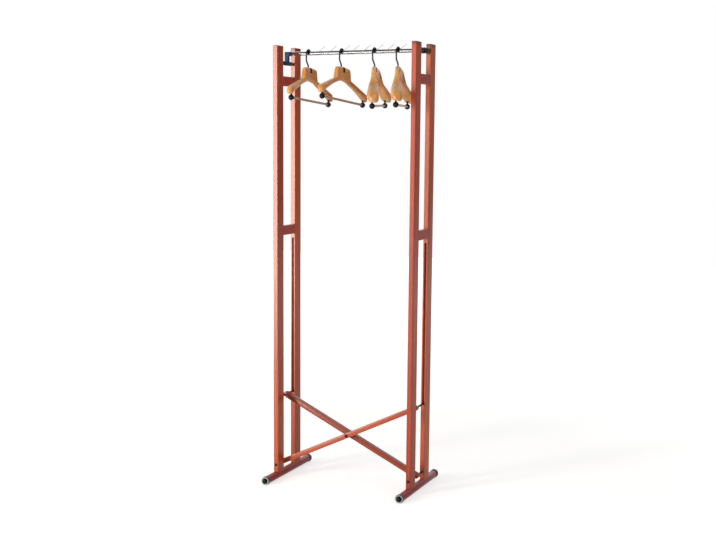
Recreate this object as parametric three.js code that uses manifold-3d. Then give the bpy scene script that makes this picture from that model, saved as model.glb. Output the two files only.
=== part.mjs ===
// Folding open wardrobe: two wooden end frames, a scissor brace, a lift-up hanging tube and four hangers.
// Millimetres, +Z up. Origin on the floor, midway between the frames; X across, Y from front to back.

import * as THREE from 'three';
import { mergeVertices } from 'three/addons/utils/BufferGeometryUtils.js';
import { ConvexGeometry } from 'three/addons/geometries/ConvexGeometry.js';
import Module from 'manifold-3d';

const wasm = await Module();
wasm.setup();

// Whole rack
const TOTAL_HEIGHT = 1750;
const FRAME_SPACING = 580;
const CLEARANCE = 0.3;
const OVERRUN = 5;

// Posts
const POST_THICKNESS = 20;
const POST_DEPTH = 54;
const POST_GAP = 104;
const WOOD_CHAMFER = 1.6;

// Cross rails and their tenons
const RAIL_HEIGHT = 38;
const UPPER_RAIL_DROP = 136;
const MID_RAIL_Z = 1021;
const TENON_THICKNESS = 10;
const TENON_HEIGHT = 26;
const TENON_LENGTH = 20;
const BLIND_END_GAP = 0.5;

// Feet
const FOOT_DIAMETER = 31;
const FOOT_OVERHANG = 94;
const CUP_WALL = 1.5;
const CUP_SLEEVE = 8;
const CUP_END = 4;
const CUP_FLAT = 0.5;
const BUTTON_DIAMETER = 24;
const BUTTON_HEIGHT = 10;
const BUTTON_STEM_DIAMETER = 6;
const BUTTON_STEM_LENGTH = 20;
const FOOT_SCREW_DIAMETER = 5;
const FOOT_SCREW_EMBED = 16;
const SCREW_HEAD_DIAMETER = 9;
const SCREW_HEAD_HEIGHT = 3;
const SCREW_HEAD_DEPTH = 4;

// Scissor brace
const BRACE_LOW_Z = 60;
const BRACE_HIGH_Z = 340;
const ARM_WIDTH = 20;
const ARM_DEPTH = 27;
const ARM_CHAMFER = 1.5;
const ARM_SIDE_GAP = 2;
const WASHER_THICKNESS = 1;
const WASHER_DIAMETER = 18;
const PIN_DIAMETER = 8;
const GROOVE_WIDTH = 9;
const GROOVE_DEPTH = 12;
const GROOVE_TOP_MARGIN = 17;
const PIN_ENGAGE = 10;
const BOLT_HEAD_DIAMETER = 12;
const BOLT_HEAD_HEIGHT = 3;
const BRACE_BOLT_EMBED = 34;
const CROSS_HEAD_DIAMETER = 14;
const CROSS_HEAD_HEIGHT = 4;
const CROSS_NUT_HEIGHT = 5;
const CROSS_BOLT_END = 1;

// Hanging tube, its elbow, axle and cradle
const TUBE_DROP = 27.5;
const TUBE_DIAMETER = 16;
const TUBE_WALL = 1.5;
const AXLE_DROP = 37.5;
const AXLE_DIAMETER = 10;
const AXLE_EMBED = 12;
const ELBOW_WIDTH = 16;
const ELBOW_CHAMFER = 2;
const ELBOW_REACH = 22;
const ELBOW_SPIGOT = 20;
const HUB_DIAMETER = 16;
const HUB_SIDE_GAP = 16;
const PLUG_FLANGE = 2;
const PLUG_SPIGOT = 12;
const CRADLE_BAR_DIAMETER = 19;
const CRADLE_WALL = 3;
const CRADLE_SIDE_GAP = 1;
const CRADLE_DROP_GAP = 0.5;
const CRADLE_TENON_DIAMETER = 12;
const CRADLE_TENON = 14;

// Hanger saddles and hooks
const SADDLE_WALL = 2.5;
const SADDLE_LENGTH = 16;
const SADDLE_WRAP = 120;
const HOOK_WIRE = 6;
const HOOK_LOOP_RADIUS = 20;
const HOOK_TIP_ANGLE = 10;
const HOOK_SHANK = 24;
const HOOK_CRANK = 20;
const HOOK_DROP = 50;
const HOOK_BEND = 9;
const HOOK_EMBED = 22;

// Wooden hanger bodies: sizes that both kinds share
const HANGER_LENGTH = 414;
const BLOCK_LENGTH = 106;
const BLOCK_HEIGHT = 54;
const BLOCK_THICKNESS = 20;
const NECK_THICKNESS = 18;
const ARM_TOP_CURVE = 0.95;
const ARM_BOTTOM_CURVE = 1.55;
const FORWARD_CURVE = 1.1;

// Slim hangers, whose block stands square above the arms
const SLIM_BLOCK_FLANK = 9;
const SLIM_CROWN_DROP = 4;
const SLIM_ARM_ROOT_DROP = 43;
const SLIM_SHOULDER_TOP_DROP = 91;
const SLIM_SHOULDER_BOTTOM_DROP = 125;
const SLIM_SHOULDER_THICKNESS = 27;
const SLIM_SHOULDER_ROUNDING = 16;
const SLIM_BLOCK_FORWARD = 3;
const SLIM_SHOULDER_FORWARD = 13.5;

// Wide hangers, whose neck flares into the arms and whose shoulders and bar hang lower
const WIDE_BLOCK_FLANK = 45;
const WIDE_CROWN_DROP = 10;
const WIDE_ARM_ROOT_DROP = 46;
const WIDE_SHOULDER_TOP_DROP = 105;
const WIDE_SHOULDER_BOTTOM_DROP = 150;
const WIDE_SHOULDER_THICKNESS = 49;
const WIDE_SHOULDER_ROUNDING = 28;
const WIDE_SHOULDER_LEAN = 5;
const WIDE_BLOCK_FORWARD = -3;
const WIDE_SHOULDER_FORWARD = 22;
const WIDE_BALL_BACK = 3;

// Trouser bars and the balls that hold them
const BAR_DIAMETER = 9.5;
const BALL_INSET = 25;
const BALL_GAP = 7.6;
const BALL_DIAMETER = 22;
const BALL_STEM_DIAMETER = 7;
const BALL_STEM_EMBED = 11;
const BALL_SOCKET = 9;

// The two kinds of hanger; a curve is the power by which a size grows along the arm, the lean is how far
// the shoulder's forward edge hangs below its middle, and ballBack is how far the bar sits behind that middle
const SLIM_KIND = {
  blockFlank: SLIM_BLOCK_FLANK,
  crownDrop: SLIM_CROWN_DROP,
  armRootDrop: SLIM_ARM_ROOT_DROP,
  shoulderTopDrop: SLIM_SHOULDER_TOP_DROP,
  shoulderBottomDrop: SLIM_SHOULDER_BOTTOM_DROP,
  shoulderThickness: SLIM_SHOULDER_THICKNESS,
  shoulderRounding: SLIM_SHOULDER_ROUNDING,
  shoulderLean: 0,
  blockForward: SLIM_BLOCK_FORWARD,
  shoulderForward: SLIM_SHOULDER_FORWARD,
  ballBack: 0,
  thicknessCurve: 1,
};
const WIDE_KIND = {
  blockFlank: WIDE_BLOCK_FLANK,
  crownDrop: WIDE_CROWN_DROP,
  armRootDrop: WIDE_ARM_ROOT_DROP,
  shoulderTopDrop: WIDE_SHOULDER_TOP_DROP,
  shoulderBottomDrop: WIDE_SHOULDER_BOTTOM_DROP,
  shoulderThickness: WIDE_SHOULDER_THICKNESS,
  shoulderRounding: WIDE_SHOULDER_ROUNDING,
  shoulderLean: WIDE_SHOULDER_LEAN,
  blockForward: WIDE_BLOCK_FORWARD,
  shoulderForward: WIDE_SHOULDER_FORWARD,
  ballBack: WIDE_BALL_BACK,
  thicknessCurve: 0.6,
};

// Where each hanger stands: place along the tube as a share of the frame spacing, swivel and tilt in degrees
const HANGERS = [
  { kind: SLIM_KIND, placeShare: 0.1643, swivel: 1.5, tilt: 2.8 },
  { kind: SLIM_KIND, placeShare: 0.4122, swivel: -2, tilt: 4 },
  { kind: WIDE_KIND, placeShare: 0.6514, swivel: 14.3, tilt: -1.8 },
  { kind: WIDE_KIND, placeShare: 0.82, swivel: 14.1, tilt: -0.3 },
];

// Facets round a full turn
const PIN_SIDES = 12;
const TUBE_SIDES = 16;
const FOOT_SIDES = 24;
const WIRE_SIDES = 8;
const NUT_SIDES = 6;
const DOME_RINGS = 4;
const HOOK_STEPS = 26;

// A hanger body's outline: facets round it, how square its section is, and its stations as shares
const BODY_SIDES = 10;
const BODY_SQUARENESS = 0.6;
const BLOCK_STATION_SHARES = [0, 0.5, 1];
const FLANK_STATION_SHARES = [0.4, 0.7, 1];
const ARM_STATION_SHARES = [0.25, 0.5, 0.75, 1];
const ROUNDING_STATION_SHARES = [0.5, 0.8, 0.97];

// Heights and places that follow from the sizes above
const CUP_RADIUS = FOOT_DIAMETER / 2 + CLEARANCE + CUP_WALL;
const FOOT_Z = CUP_RADIUS - CUP_FLAT;
const POST_Y = (POST_GAP + POST_DEPTH) / 2;
const POST_FACE_Y = POST_GAP / 2;
const POST_OUTER_Y = POST_FACE_Y + POST_DEPTH;
const FOOT_END_Y = POST_OUTER_Y + FOOT_OVERHANG;
const UPPER_RAIL_Z = TOTAL_HEIGHT - UPPER_RAIL_DROP;
const TUBE_Z = TOTAL_HEIGHT - TUBE_DROP;
const AXLE_Z = TUBE_Z - AXLE_DROP;
const BRACE_RISE = BRACE_HIGH_Z - BRACE_LOW_Z;
const ARM_SPAN = Math.hypot(FRAME_SPACING, BRACE_RISE);
const ARM_SLOPE = Math.atan2(BRACE_RISE, FRAME_SPACING);
const ARM_B_FRONT = -POST_FACE_Y + ARM_SIDE_GAP;
const ARM_B_BACK = ARM_B_FRONT + ARM_DEPTH;
const ARM_A_FRONT = ARM_B_BACK + WASHER_THICKNESS;
const ARM_A_BACK = ARM_A_FRONT + ARM_DEPTH;
const PIN_RADIUS = PIN_DIAMETER / 2;
const PIN_HOLE_RADIUS = PIN_RADIUS + CLEARANCE;
const SADDLE_OUTER_RADIUS = TUBE_DIAMETER / 2 + CLEARANCE + SADDLE_WALL;
const HOOK_TOP = SADDLE_OUTER_RADIUS + CLEARANCE + HOOK_WIRE / 2;
const HANGER_HALF = HANGER_LENGTH / 2;
const BLOCK_HALF = BLOCK_LENGTH / 2;
const BALL_Y = HANGER_HALF - BALL_INSET;

// The hanging tube's ends, from the left frame's centre plane, and its bore
const TUBE_START = ELBOW_REACH;
const TUBE_END = FRAME_SPACING + POST_THICKNESS / 2 - PLUG_FLANGE;
const TUBE_BORE_RADIUS = TUBE_DIAMETER / 2 - TUBE_WALL;

// Finishes
const finish = (color, roughness, metalness = 0) =>
  new THREE.MeshStandardMaterial({ color, roughness, metalness });
const stainedWood = finish(0xb4623c, 0.55);
const railWood = finish(0x9a4a35, 0.55);
const armWood = finish(0xc0704a, 0.55);
const footWood = finish(0x6e3a34, 0.55);
const paleWood = finish(0xc99a6b, 0.6);
const barWood = finish(0xa07a58, 0.6);
const blackPlastic = finish(0x16181a, 0.4);
const slatePlastic = finish(0x2a3440, 0.4);
const polishedSteel = finish(0xd5d8da, 0.2, 1);
const darkSteel = finish(0x3a2a2a, 0.4, 1);
const blackWire = finish(0x15181b, 0.35, 0.6);

// Booleans on three.js geometry
function solidOf(geometry) {
  const bare = geometry.clone();
  for (const name of Object.keys(bare.attributes)) {
    if (name !== 'position') bare.deleteAttribute(name);
  }
  const merged = mergeVertices(bare);
  const vertProperties = Float32Array.from(merged.attributes.position.array);
  const triVerts = Uint32Array.from(merged.index.array);
  return new wasm.Manifold(new wasm.Mesh({ numProp: 3, vertProperties, triVerts }));
}

function geometryOf(solid) {
  const mesh = solid.getMesh();
  const geometry = new THREE.BufferGeometry();
  geometry.setAttribute('position', new THREE.BufferAttribute(Float32Array.from(mesh.vertProperties), 3));
  geometry.setIndex(new THREE.BufferAttribute(Uint32Array.from(mesh.triVerts), 1));
  geometry.computeVertexNormals();
  return geometry;
}

function join(...geometries) {
  return geometryOf(geometries.map(solidOf).reduce((whole, solid) => whole.add(solid)));
}

function cut(geometry, ...cutters) {
  return geometryOf(cutters.map(solidOf).reduce((left, cutter) => left.subtract(cutter), solidOf(geometry)));
}

// Round bars along each axis, from one coordinate to another
function rodY(radius, from, to, x = 0, z = 0, sides = PIN_SIDES) {
  return new THREE.CylinderGeometry(radius, radius, to - from, sides).translate(x, (from + to) / 2, z);
}

function rodX(radius, from, to, y = 0, z = 0, sides = PIN_SIDES) {
  const rod = new THREE.CylinderGeometry(radius, radius, to - from, sides).rotateZ(Math.PI / 2);
  return rod.translate((from + to) / 2, y, z);
}

function rodZ(radius, from, to, x = 0, y = 0, sides = PIN_SIDES) {
  const rod = new THREE.CylinderGeometry(radius, radius, to - from, sides).rotateX(Math.PI / 2);
  return rod.translate(x, y, (from + to) / 2);
}

function box(sizes, centre) {
  return new THREE.BoxGeometry(...sizes).translate(...centre);
}

// A board with every edge chamfered
function board(sizes, centre, chamfer = WOOD_CHAMFER) {
  const half = sizes.map((size) => size / 2);
  const corners = [];
  for (const flush of [0, 1, 2]) {
    const [x, y, z] = half.map((reach, axis) => (axis === flush ? reach : reach - chamfer));
    for (const corner of [[x, y], [x, -y], [-x, y], [-x, -y]]) {
      corners.push(new THREE.Vector3(...corner, z), new THREE.Vector3(...corner, -z));
    }
  }
  return new ConvexGeometry(corners).translate(...centre);
}

// A turned piece: the profile's height runs along Y from yStart, forwards or backwards
function turnedY(profile, yStart, direction, x, z, sides) {
  const points = profile.map(([radius, height]) => new THREE.Vector2(radius, height));
  const turned = new THREE.LatheGeometry(points, sides);
  if (direction < 0) turned.rotateX(Math.PI);
  return turned.translate(x, yStart, z);
}

// Half an ellipse as a turned profile, from its flat back on the axis to its tip
function domeProfile(radius, height, steps) {
  const profile = [[0, 0]];
  for (let step = 0; step < steps; step += 1) {
    const angle = (step / steps) * (Math.PI / 2);
    profile.push([radius * Math.cos(angle), height * Math.sin(angle)]);
  }
  profile.push([0, height]);
  return profile;
}

// A flat path with rounded corners, and the same path standing in a plane of the object
function roundedPath(points, bend) {
  const path = new THREE.Path();
  path.moveTo(points[0].x, points[0].y);
  for (let i = 1; i < points.length - 1; i += 1) {
    const before = points[i - 1].clone().sub(points[i]).normalize();
    const after = points[i + 1].clone().sub(points[i]).normalize();
    const half = before.angleTo(after) / 2;
    const back = bend / Math.tan(half);
    const start = points[i].clone().addScaledVector(before, back);
    const end = points[i].clone().addScaledVector(after, back);
    const inward = before.clone().add(after).normalize();
    const centre = points[i].clone().addScaledVector(inward, bend / Math.sin(half));
    const clockwise = before.cross(after) > 0;
    path.lineTo(start.x, start.y);
    const startAngle = Math.atan2(start.y - centre.y, start.x - centre.x);
    const endAngle = Math.atan2(end.y - centre.y, end.x - centre.x);
    path.absarc(centre.x, centre.y, bend, startAngle, endAngle, clockwise);
  }
  const last = points[points.length - 1];
  path.lineTo(last.x, last.y);
  return path;
}

class StandingPath extends THREE.Curve {
  constructor(path, place) {
    super();
    this.path = path;
    this.place = place;
  }

  getPoint(t, target = new THREE.Vector3()) {
    const point = this.path.getPoint(t);
    return target.set(...this.place(point.x, point.y));
  }
}

function wireAlong(curve, radius, steps, sides) {
  const section = new THREE.Shape().absarc(0, 0, radius, 0, 2 * Math.PI, false);
  const options = { steps, curveSegments: sides / 2, bevelEnabled: false, extrudePath: curve };
  return new THREE.ExtrudeGeometry(section, options);
}

function named(name, geometry, material) {
  const mesh = new THREE.Mesh(geometry, material);
  mesh.name = name;
  return mesh;
}

// End frames
function post(side) {
  const y = side * POST_Y;
  const faceY = side * POST_FACE_Y;
  const height = TOTAL_HEIGHT - FOOT_Z;
  return board([POST_THICKNESS, POST_DEPTH, height], [0, y, FOOT_Z + height / 2]);
}

function rodAcrossFace(radius, side, depth, z) {
  const ends = [side * (POST_FACE_Y - OVERRUN), side * (POST_FACE_Y + depth)];
  return rodY(radius, Math.min(...ends), Math.max(...ends), 0, z);
}

function postCutters(side) {
  const y = side * POST_Y;
  const grooveBottom = BRACE_HIGH_Z - PIN_RADIUS - CLEARANCE;
  const grooveTop = MID_RAIL_Z - RAIL_HEIGHT / 2 - GROOVE_TOP_MARGIN;
  const grooveMiddleY = side * (POST_FACE_Y + (GROOVE_DEPTH - OVERRUN) / 2);
  const groove = box(
    [GROOVE_WIDTH, GROOVE_DEPTH + OVERRUN, grooveTop - grooveBottom],
    [0, grooveMiddleY, (grooveTop + grooveBottom) / 2],
  );
  const cope = rodY(FOOT_DIAMETER / 2 + CLEARANCE, y - POST_DEPTH, y + POST_DEPTH, 0, FOOT_Z, FOOT_SIDES);
  const screwTop = FOOT_Z + FOOT_DIAMETER / 2 + FOOT_SCREW_EMBED + BLIND_END_GAP;
  const screwHole = rodZ(FOOT_SCREW_DIAMETER / 2 + CLEARANCE, FOOT_Z, screwTop, 0, y);
  const boltDepth = side < 0 ? POST_DEPTH + OVERRUN : BRACE_BOLT_EMBED + BLIND_END_GAP;
  const boltHole = rodAcrossFace(PIN_HOLE_RADIUS, side, boltDepth, BRACE_LOW_Z);
  return [groove, cope, screwHole, boltHole, mortise(UPPER_RAIL_Z), mortise(MID_RAIL_Z)];
}

// A mortise pair is one bar through the gap between the posts
function mortise(z) {
  const reach = POST_FACE_Y + TENON_LENGTH + BLIND_END_GAP;
  const play = 2 * CLEARANCE;
  return box([TENON_THICKNESS + play, 2 * reach, TENON_HEIGHT + play], [0, 0, z]);
}

function crossRail(z) {
  const rail = board([POST_THICKNESS, POST_GAP, RAIL_HEIGHT], [0, 0, z]);
  const tenons = box([TENON_THICKNESS, POST_GAP + 2 * TENON_LENGTH, TENON_HEIGHT], [0, 0, z]);
  return join(rail, tenons);
}

// Feet
function foot() {
  const radius = FOOT_DIAMETER / 2;
  const dowel = rodY(radius, -FOOT_END_Y, FOOT_END_Y, 0, FOOT_Z, FOOT_SIDES);
  const screwHoles = [-POST_Y, POST_Y].flatMap((y) => [
    rodZ(FOOT_SCREW_DIAMETER / 2 + CLEARANCE, FOOT_Z - radius - OVERRUN, FOOT_Z + radius + OVERRUN, 0, y),
    rodZ(
      SCREW_HEAD_DIAMETER / 2 + CLEARANCE,
      FOOT_Z - radius - OVERRUN,
      FOOT_Z - radius + SCREW_HEAD_DEPTH + SCREW_HEAD_HEIGHT,
      0,
      y,
    ),
  ]);
  const stemDepth = BUTTON_STEM_LENGTH - CUP_END + BLIND_END_GAP;
  const stemHoles = [-1, 1].map((side) => {
    const ends = [side * (FOOT_END_Y - stemDepth), side * (FOOT_END_Y + OVERRUN)];
    return rodY(BUTTON_STEM_DIAMETER / 2 + CLEARANCE, Math.min(...ends), Math.max(...ends), 0, FOOT_Z);
  });
  return cut(dowel, ...screwHoles, ...stemHoles);
}

function footScrew(side) {
  const y = side * POST_Y;
  const seat = FOOT_Z - FOOT_DIAMETER / 2 + SCREW_HEAD_DEPTH;
  const tip = FOOT_Z + FOOT_DIAMETER / 2 + FOOT_SCREW_EMBED;
  return join(
    rodZ(SCREW_HEAD_DIAMETER / 2, seat, seat + SCREW_HEAD_HEIGHT, 0, y),
    rodZ(FOOT_SCREW_DIAMETER / 2, seat, tip, 0, y),
  );
}

function footCup(side) {
  const inner = FOOT_DIAMETER / 2 + CLEARANCE;
  const hole = BUTTON_STEM_DIAMETER / 2 + CLEARANCE;
  const profile = [
    [inner, -CUP_SLEEVE],
    [CUP_RADIUS, -CUP_SLEEVE],
    [CUP_RADIUS, CUP_END],
    [hole, CUP_END],
    [hole, 0],
    [inner, 0],
    [inner, -CUP_SLEEVE],
  ];
  const cup = turnedY(profile, side * FOOT_END_Y, side, 0, FOOT_Z, FOOT_SIDES);
  const underside = box(
    [2 * CUP_RADIUS, CUP_SLEEVE + CUP_END + 2 * OVERRUN, OVERRUN],
    [0, side * (FOOT_END_Y - CUP_SLEEVE / 2), -OVERRUN / 2],
  );
  return cut(cup, underside);
}

function capButton(side) {
  const seat = FOOT_END_Y + CUP_END;
  const profile = domeProfile(BUTTON_DIAMETER / 2, BUTTON_HEIGHT, DOME_RINGS);
  const ends = [side * (seat - BUTTON_STEM_LENGTH), side * (seat + BUTTON_HEIGHT / 2)];
  return join(
    turnedY(profile, side * seat, side, 0, FOOT_Z, TUBE_SIDES),
    rodY(BUTTON_STEM_DIAMETER / 2, Math.min(...ends), Math.max(...ends), 0, FOOT_Z),
  );
}

// Bolts, pins and axles along Y
function headedBolt(headDiameter, headHeight, shankRadius, seat, end, z) {
  return join(
    turnedY(domeProfile(headDiameter / 2, headHeight, DOME_RINGS), seat, -1, 0, z, PIN_SIDES),
    rodY(shankRadius, seat - headHeight / 2, end, 0, z),
  );
}

function braceBolt() {
  const end = POST_FACE_Y + BRACE_BOLT_EMBED;
  return headedBolt(BOLT_HEAD_DIAMETER, BOLT_HEAD_HEIGHT, PIN_RADIUS, -POST_OUTER_Y, end, BRACE_LOW_Z);
}

function upperPin() {
  const reach = POST_FACE_Y + PIN_ENGAGE;
  return rodY(PIN_RADIUS, -reach, reach);
}

// Brace arms, drawn level about their middle
function braceArm(front, back) {
  const radius = ARM_WIDTH / 2 - ARM_CHAMFER;
  const half = ARM_SPAN / 2;
  const outline = new THREE.Shape();
  outline.absarc(half, 0, radius, -Math.PI / 2, Math.PI / 2, false);
  outline.absarc(-half, 0, radius, Math.PI / 2, (3 * Math.PI) / 2, false);
  const arm = new THREE.ExtrudeGeometry(outline, {
    depth: back - front - 2 * ARM_CHAMFER,
    curveSegments: PIN_SIDES / 2,
    bevelSegments: 1,
    bevelSize: ARM_CHAMFER,
    bevelThickness: ARM_CHAMFER,
  });
  arm.rotateX(Math.PI / 2).translate(0, back - ARM_CHAMFER, 0);
  const holes = [-half, 0, half].map((x) => rodY(PIN_HOLE_RADIUS, front - OVERRUN, back + OVERRUN, x));
  return cut(arm, ...holes);
}

function crossNut() {
  const nut = rodY(CROSS_HEAD_DIAMETER / 2, ARM_A_BACK, ARM_A_BACK + CROSS_NUT_HEIGHT, 0, 0, NUT_SIDES);
  return cut(nut, rodY(PIN_HOLE_RADIUS, ARM_A_BACK - OVERRUN, ARM_A_BACK + CROSS_NUT_HEIGHT + OVERRUN));
}

function crossWasher() {
  const washer = rodY(WASHER_DIAMETER / 2, ARM_B_BACK, ARM_A_FRONT);
  return cut(washer, rodY(PIN_HOLE_RADIUS, ARM_B_BACK - OVERRUN, ARM_A_FRONT + OVERRUN));
}

function crossBolt() {
  const end = ARM_A_BACK + CROSS_NUT_HEIGHT + CROSS_BOLT_END;
  return headedBolt(CROSS_HEAD_DIAMETER, CROSS_HEAD_HEIGHT, PIN_RADIUS, ARM_B_FRONT, end, 0);
}

// Hanging tube, drawn from the left frame's centre plane
function hangingTube() {
  const outside = rodX(TUBE_DIAMETER / 2, TUBE_START, TUBE_END, 0, TUBE_Z, TUBE_SIDES);
  const bore = rodX(TUBE_BORE_RADIUS, TUBE_START - OVERRUN, TUBE_END + OVERRUN, 0, TUBE_Z, TUBE_SIDES);
  return cut(outside, bore);
}

// A plug that fits the tube's bore
function spigot(from, to) {
  return rodX(TUBE_BORE_RADIUS - CLEARANCE, from, to, 0, TUBE_Z, TUBE_SIDES);
}

function tubeEndPlug() {
  return join(
    rodX(TUBE_DIAMETER / 2, TUBE_END, TUBE_END + PLUG_FLANGE, 0, TUBE_Z, TUBE_SIDES),
    spigot(TUBE_END - PLUG_SPIGOT, TUBE_END + PLUG_FLANGE / 2),
  );
}

// An upright block on the axle's hub, with an arm that holds the tube's end
function railElbow() {
  const half = ELBOW_WIDTH / 2;
  const hubReach = POST_FACE_Y - HUB_SIDE_GAP;
  const upright = board(
    [ELBOW_WIDTH, ELBOW_WIDTH, AXLE_DROP + ELBOW_WIDTH],
    [0, 0, (AXLE_Z + TUBE_Z) / 2],
    ELBOW_CHAMFER,
  );
  const arm = board(
    [ELBOW_REACH + half, ELBOW_WIDTH, ELBOW_WIDTH],
    [(ELBOW_REACH - half) / 2, 0, TUBE_Z],
    ELBOW_CHAMFER,
  );
  const whole = join(
    upright,
    arm,
    rodY(HUB_DIAMETER / 2, -hubReach, hubReach, 0, AXLE_Z, TUBE_SIDES),
    spigot(ELBOW_REACH / 2, ELBOW_REACH + ELBOW_SPIGOT),
  );
  return cut(whole, rodY(AXLE_DIAMETER / 2 + CLEARANCE, -POST_FACE_Y, POST_FACE_Y, 0, AXLE_Z));
}

// A round bar between the right posts, with a square block in its middle that the tube lies in
function cradleBar() {
  const slotHalf = TUBE_DIAMETER / 2 + CRADLE_SIDE_GAP;
  const slotBottom = TUBE_Z - TUBE_DIAMETER / 2 - CRADLE_DROP_GAP;
  const barRadius = CRADLE_BAR_DIAMETER / 2;
  const blockWidth = 2 * (slotHalf + CRADLE_WALL);
  const blockBottom = slotBottom - CRADLE_WALL;
  const blockTop = TUBE_Z + barRadius;
  const slotTop = blockTop + OVERRUN;
  const tenonEnd = POST_FACE_Y + CRADLE_TENON;
  const whole = join(
    box([POST_THICKNESS, blockWidth, blockTop - blockBottom], [0, 0, (blockTop + blockBottom) / 2]),
    rodY(barRadius, -POST_FACE_Y, POST_FACE_Y, 0, TUBE_Z, TUBE_SIDES),
    rodY(CRADLE_TENON_DIAMETER / 2, -tenonEnd, tenonEnd, 0, TUBE_Z),
  );
  const slot = box(
    [POST_THICKNESS + OVERRUN, 2 * slotHalf, slotTop - slotBottom],
    [0, 0, (slotTop + slotBottom) / 2],
  );
  return cut(whole, slot);
}

// Hanger saddle, drawn about the tube's axis
function saddle() {
  const inner = TUBE_DIAMETER / 2 + CLEARANCE;
  const wrap = (SADDLE_WRAP * Math.PI) / 180;
  const top = Math.PI / 2;
  const section = new THREE.Shape();
  section.absarc(0, 0, SADDLE_OUTER_RADIUS, top - wrap, top + wrap, false);
  section.absarc(0, 0, inner, top + wrap, top - wrap, true);
  const options = { depth: SADDLE_LENGTH, curveSegments: WIRE_SIDES, bevelEnabled: false };
  const clip = new THREE.ExtrudeGeometry(section, options).translate(0, 0, -SADDLE_LENGTH / 2);
  return clip.rotateY(Math.PI / 2).rotateX(Math.PI / 2);
}

// Hook, drawn about the middle of its loop: over the tube, down in front, and back to the middle
function hook() {
  const path = new THREE.Path();
  const tip = (HOOK_TIP_ANGLE * Math.PI) / 180;
  const crankTop = -HOOK_SHANK;
  const crankBottom = crankTop - HOOK_CRANK;
  const corners = [
    new THREE.Vector2(-HOOK_LOOP_RADIUS, 0),
    new THREE.Vector2(-HOOK_LOOP_RADIUS, crankTop),
    new THREE.Vector2(0, crankBottom),
    new THREE.Vector2(0, -HOOK_DROP - HOOK_EMBED),
  ];
  path.absarc(0, 0, HOOK_LOOP_RADIUS, tip, Math.PI, false);
  for (const curve of roundedPath(corners, HOOK_BEND).curves) path.curves.push(curve);
  return wireAlong(new StandingPath(path, (y, z) => [0, y, z]), HOOK_WIRE / 2, HOOK_STEPS, WIRE_SIDES);
}

// Wooden hanger body, drawn about the neck's axis with its top at height zero; it runs along Y
const mix = (from, to, share) => from + (to - from) * share;
const clamp01 = (value) => Math.min(1, Math.max(0, value));
const smooth = (value) => clamp01(value) ** 2 * (3 - 2 * clamp01(value));

function bodySection(kind, y) {
  const reach = Math.abs(y);
  const along = clamp01((reach - BLOCK_HALF) / (HANGER_HALF - BLOCK_HALF));
  const rounding = clamp01((reach - HANGER_HALF + kind.shoulderRounding) / kind.shoulderRounding);
  const taper = Math.sqrt(1 - rounding ** 2);
  const armTop = -mix(kind.armRootDrop, kind.shoulderTopDrop, along ** ARM_TOP_CURVE);
  const spanShare = (reach / HANGER_HALF) ** ARM_BOTTOM_CURVE;
  const armBottom = -mix(BLOCK_HEIGHT, kind.shoulderBottomDrop, spanShare);
  const middle = (armTop + armBottom) / 2;
  const halfHeight = ((armTop - armBottom) / 2) * taper;
  const inBlock = 1 - smooth((reach - BLOCK_HALF) / kind.blockFlank);
  const crown = -kind.crownDrop * (reach / BLOCK_HALF) ** 2;
  const lowerThickness = mix(BLOCK_THICKNESS, kind.shoulderThickness, along ** kind.thicknessCurve);
  return {
    top: mix(middle + halfHeight, crown, inBlock),
    bottom: middle - halfHeight,
    lowerThickness: lowerThickness * taper,
    upperThickness: mix(lowerThickness, NECK_THICKNESS, inBlock) * taper,
    forward: mix(kind.blockForward, kind.shoulderForward, (reach / HANGER_HALF) ** FORWARD_CURVE),
    lean: kind.shoulderLean * along * taper,
  };
}

function bodyStations(kind) {
  const roundingStart = HANGER_HALF - kind.shoulderRounding;
  const flankEnd = BLOCK_HALF + kind.blockFlank;
  const reaches = [
    ...BLOCK_STATION_SHARES.map((share) => share * BLOCK_HALF),
    ...FLANK_STATION_SHARES.map((share) => BLOCK_HALF + share * kind.blockFlank),
    ...ARM_STATION_SHARES.map((share) => mix(flankEnd, roundingStart, share)),
    ...ROUNDING_STATION_SHARES.map((share) => mix(roundingStart, HANGER_HALF, share)),
  ];
  return [...reaches.slice(1).reverse().map((reach) => -reach), ...reaches];
}

// One ring of the body: a rounded square, flat towards +X, whose back leans in towards the top
function bodyRing(kind, y) {
  const { top, bottom, lowerThickness, upperThickness, forward, lean } = bodySection(kind, y);
  const ring = [];
  for (let side = 0; side < BODY_SIDES; side += 1) {
    const angle = ((side + 1 / 2) / BODY_SIDES) * 2 * Math.PI;
    const across = Math.sign(Math.cos(angle)) * Math.abs(Math.cos(angle)) ** BODY_SQUARENESS;
    const up = Math.sign(Math.sin(angle)) * Math.abs(Math.sin(angle)) ** BODY_SQUARENESS;
    const width = mix(lowerThickness, upperThickness, (up + 1) / 2);
    const face = forward + lowerThickness / 2;
    ring.push(face - (width * (1 - across)) / 2, y, mix(bottom, top, (up + 1) / 2) - lean * across);
  }
  return ring;
}

function bodyLoft(kind) {
  const stations = bodyStations(kind);
  const triangles = [];
  for (let row = 0; row < stations.length - 1; row += 1) {
    for (let side = 0; side < BODY_SIDES; side += 1) {
      const a = row * BODY_SIDES + side;
      const b = row * BODY_SIDES + ((side + 1) % BODY_SIDES);
      triangles.push(a, a + BODY_SIDES, b, b, a + BODY_SIDES, b + BODY_SIDES);
    }
  }
  const lastRow = (stations.length - 1) * BODY_SIDES;
  for (let side = 1; side < BODY_SIDES - 1; side += 1) {
    triangles.push(0, side, side + 1, lastRow, lastRow + side + 1, lastRow + side);
  }
  const positions = stations.flatMap((y) => bodyRing(kind, y));
  const geometry = new THREE.BufferGeometry();
  geometry.setAttribute('position', new THREE.Float32BufferAttribute(positions, 3));
  geometry.setIndex(triangles);
  return geometry;
}

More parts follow.
